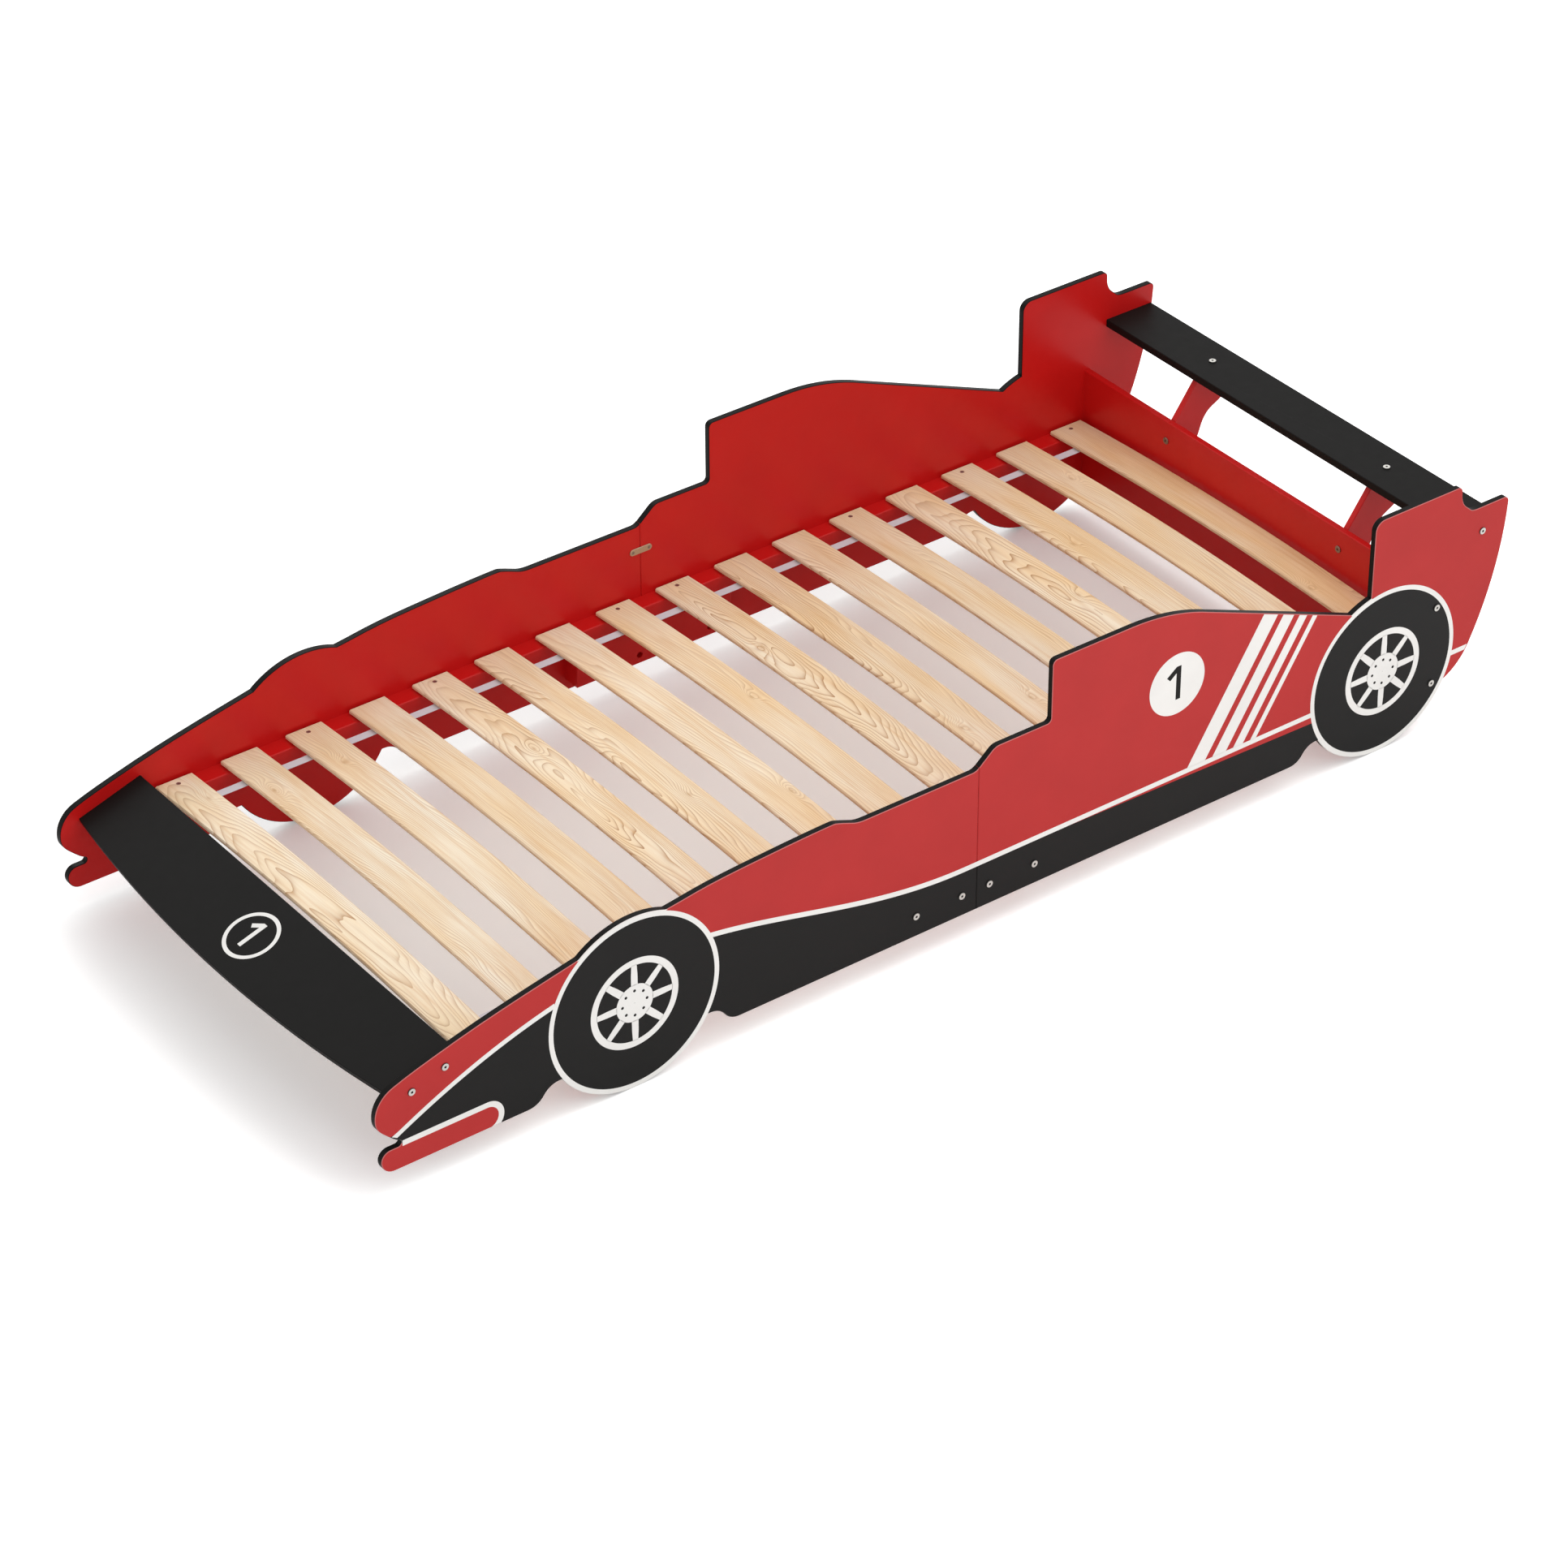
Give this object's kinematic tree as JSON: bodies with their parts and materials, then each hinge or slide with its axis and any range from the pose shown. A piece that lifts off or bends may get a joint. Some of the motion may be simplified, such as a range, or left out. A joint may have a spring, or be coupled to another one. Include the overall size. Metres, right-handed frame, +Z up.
{
  "type": "children's car bed",
  "caption": "Low child's bed with side boards cut to a racing car's outline, a tilted nose board, a rear wing on struts and a slatted base for a 90 cm wide mattress.",
  "frame": {"origin": "floor level under the middle of the bed", "axes": "+Z up, -X towards the nose, +X towards the tail, Y across the bed with the left side at -Y"},
  "size_m": [2.2689, 0.933, 0.463],
  "materials": {
    "red_board": "satin paint on fibreboard",
    "black_board": "satin paint on fibreboard",
    "slat_wood": "planed, unfinished softwood",
    "webbing": "woven band",
    "screw_steel": "bright zinc",
    "plated_steel": "dull zinc"
  },
  "bodies": {
    "root": {"end_screws": "screw_steel", "joint_block_left": "red_board", "joint_block_right": "red_board", "joint_screws": "screw_steel", "nose_board": "black_board", "plate_screws": "plated_steel", "rail_left": "red_board", "rail_right": "red_board", "rear_board": "red_board", "seam_plate_left": "plated_steel", "seam_plate_right": "plated_steel", "side_front_left": "red_board", "side_front_right": "red_board", "side_rear_left": "red_board", "side_rear_right": "red_board", "slat_01": "slat_wood", "slat_02": "slat_wood", "slat_03": "slat_wood", "slat_04": "slat_wood", "slat_05": "slat_wood", "slat_06": "slat_wood", "slat_07": "slat_wood", "slat_08": "slat_wood", "slat_09": "slat_wood", "slat_10": "slat_wood", "slat_11": "slat_wood", "slat_12": "slat_wood", "slat_13": "slat_wood", "slat_14": "slat_wood", "slat_15": "slat_wood", "slat_16": "slat_wood", "slat_screws": "plated_steel", "strap_left": "webbing", "strap_right": "webbing", "strut_screws": "screw_steel", "wing_board": "black_board", "wing_screws": "screw_steel", "wing_strut_left": "red_board", "wing_strut_right": "red_board"}
  },
  "joints": []
}
